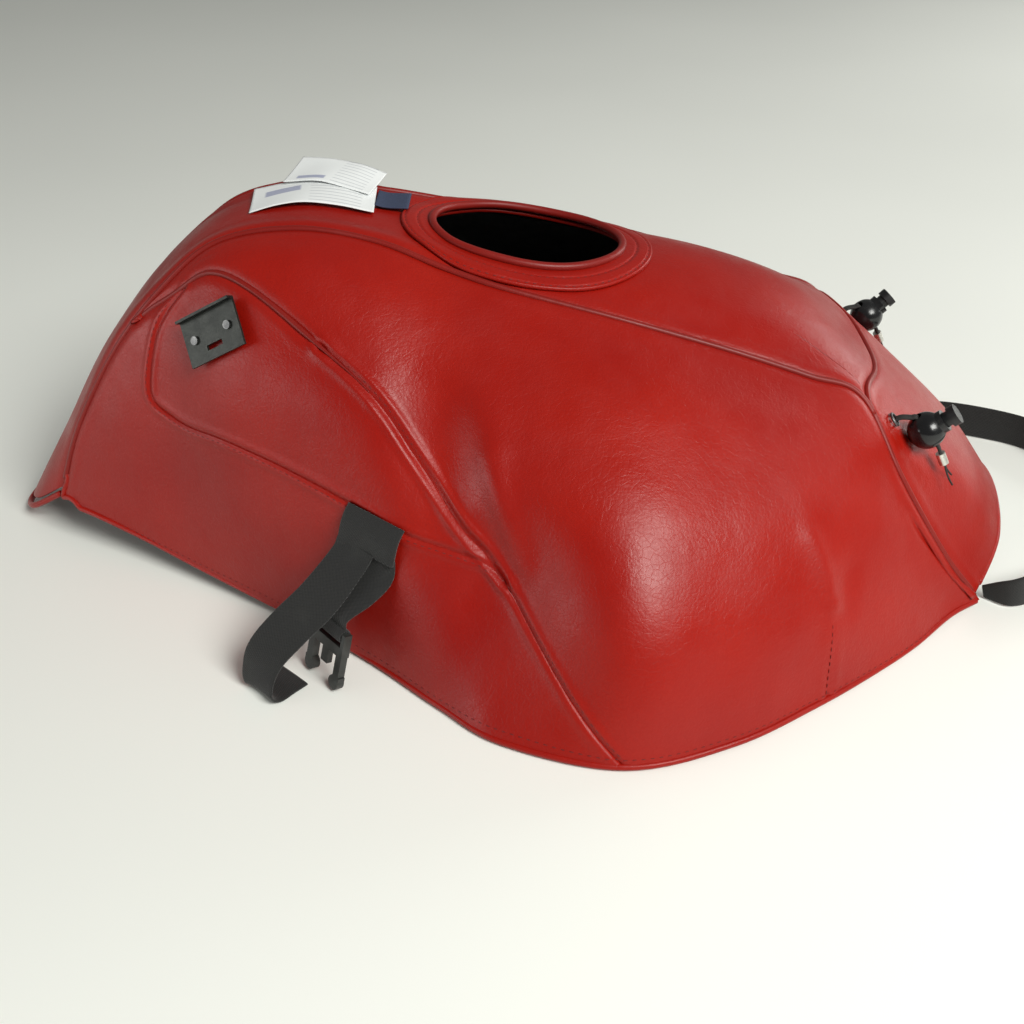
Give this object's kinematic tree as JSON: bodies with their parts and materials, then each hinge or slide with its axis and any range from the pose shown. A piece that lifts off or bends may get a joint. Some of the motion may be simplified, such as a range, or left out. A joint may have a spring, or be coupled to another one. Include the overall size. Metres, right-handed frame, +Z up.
{
  "type": "motorcycle tank cover",
  "caption": "Sewn leatherette motorcycle fuel tank cover with a stitched filler opening, piped seams, webbing straps, side-release buckle and cord locks.",
  "frame": {"origin": "middle of the cover's bounding box, on the surface it stands on", "axes": "+X towards the front of the motorcycle, +Y to the rider's left, +Z up"},
  "size_m": [0.7347, 0.5016, 0.2214],
  "materials": {
    "red_leatherette": "semi-gloss grained coated fabric",
    "dark_red_piping": "covered piping",
    "lining": "soft backing",
    "gunmetal": "satin folded sheet",
    "rivet_steel": "satin",
    "webbing": "woven webbing",
    "buckle_plastic": "moulded",
    "lock_plastic": "moulded",
    "spring_steel": "wire",
    "elastic": "braided elastic",
    "crimp_metal": "pressed",
    "woven_tab": "woven",
    "label_white": "satin ribbon"
  },
  "bodies": {
    "cover": {"centre_panel": "red_leatherette", "front_panel": "red_leatherette", "right_side_panel": "red_leatherette", "left_side_panel": "red_leatherette", "right_knee_panel": "red_leatherette", "left_knee_panel": "red_leatherette", "right_rear_skirt": "red_leatherette", "left_rear_skirt": "red_leatherette", "right_lining": "lining", "left_lining": "lining", "rear_lining": "lining", "front_lining": "lining", "filler_ring": "red_leatherette", "filler_lip": "dark_red_piping", "right_crown_piping": "dark_red_piping", "left_crown_piping": "dark_red_piping", "neck_piping": "dark_red_piping", "right_arch_piping": "dark_red_piping", "left_arch_piping": "dark_red_piping", "right_hem": "red_leatherette", "left_hem": "red_leatherette", "front_hem": "red_leatherette", "tail_hem": "red_leatherette", "right_trim_plate": "gunmetal", "left_trim_plate": "gunmetal", "trim_rivets": "rivet_steel", "right_strap_tab": "webbing", "left_strap_tab": "webbing", "right_lock_cord": "elastic", "left_lock_cord": "elastic", "right_cord_tails": "elastic", "left_cord_tails": "elastic", "lock_crimps": "crimp_metal", "cord_eyelets": "crimp_metal", "label_tab": "woven_tab"},
    "right_strap": {"right_tail_webbing": "webbing", "right_buckle_webbing": "webbing"},
    "left_strap": {"left_tail_webbing": "webbing", "left_buckle_webbing": "webbing"},
    "right_buckle": {"prong_buckle": "buckle_plastic"},
    "left_buckle": {"socket_buckle": "buckle_plastic"},
    "front_strap": {"front_webbing": "webbing"},
    "front_slider": {"front_slider": "buckle_plastic"},
    "right_lock": {"right_lock_body": "lock_plastic", "right_lock_spring": "spring_steel"},
    "left_lock": {"left_lock_body": "lock_plastic", "left_lock_spring": "spring_steel"},
    "right_plunger": {"right_lock_plunger": "lock_plastic"},
    "left_plunger": {"left_lock_plunger": "lock_plastic"},
    "labels": {"size_label": "label_white", "care_label": "label_white"}
  },
  "joints": [
    {"name": "right_strap_swing", "type": "hinge", "parent": "cover", "child": "right_strap", "pos_m": [-0.11371, -0.15785, 0.07095], "axis": [-0.8505, 0.5056, 0.1449], "range_deg": [0, 25]},
    {"name": "right_buckle_swing", "type": "hinge", "parent": "right_strap", "child": "right_buckle", "pos_m": [-0.1327, -0.17455, 0.03348], "axis": [-0.6691, 0.7431, 0], "range_deg": [-12, 20]},
    {"name": "right_lock_slide", "type": "slide", "parent": "cover", "child": "right_lock", "axis": [0.6466, -0.1454, -0.7488], "range_m": [0, 0.004]},
    {"name": "right_plunger_press", "type": "slide", "parent": "right_lock", "child": "right_plunger", "axis": [-0.7306, 0.1643, -0.6628], "range_m": [0, 0.003], "stiffness_N_per_m": 600},
    {"name": "left_strap_swing", "type": "hinge", "parent": "cover", "child": "left_strap", "pos_m": [-0.11371, 0.15785, 0.07095], "axis": [0.8505, 0.5056, -0.1449], "range_deg": [0, 25]},
    {"name": "left_buckle_swing", "type": "hinge", "parent": "left_strap", "child": "left_buckle", "pos_m": [-0.1327, 0.17455, 0.03348], "axis": [0.6691, 0.7431, 0], "range_deg": [-12, 20]},
    {"name": "left_lock_slide", "type": "slide", "parent": "cover", "child": "left_lock", "axis": [0.6466, 0.1454, -0.7488], "range_m": [0, 0.004]},
    {"name": "left_plunger_press", "type": "slide", "parent": "left_lock", "child": "left_plunger", "axis": [-0.7306, -0.1643, -0.6628], "range_m": [0, 0.003], "stiffness_N_per_m": 600},
    {"name": "front_strap_swing", "type": "hinge", "parent": "cover", "child": "front_strap", "pos_m": [0.25684, 0, 0.0128], "axis": [0, -1, 0], "range_deg": [0, 35]},
    {"name": "front_slider_slide", "type": "slide", "parent": "front_strap", "child": "front_slider", "axis": [0, 1, 0], "range_m": [-0.008, 0.008]},
    {"name": "label_swing", "type": "hinge", "parent": "cover", "child": "labels", "pos_m": [-0.1181, 0, 0.21075], "axis": [0, 1, 0], "range_deg": [0, 60]}
  ]
}
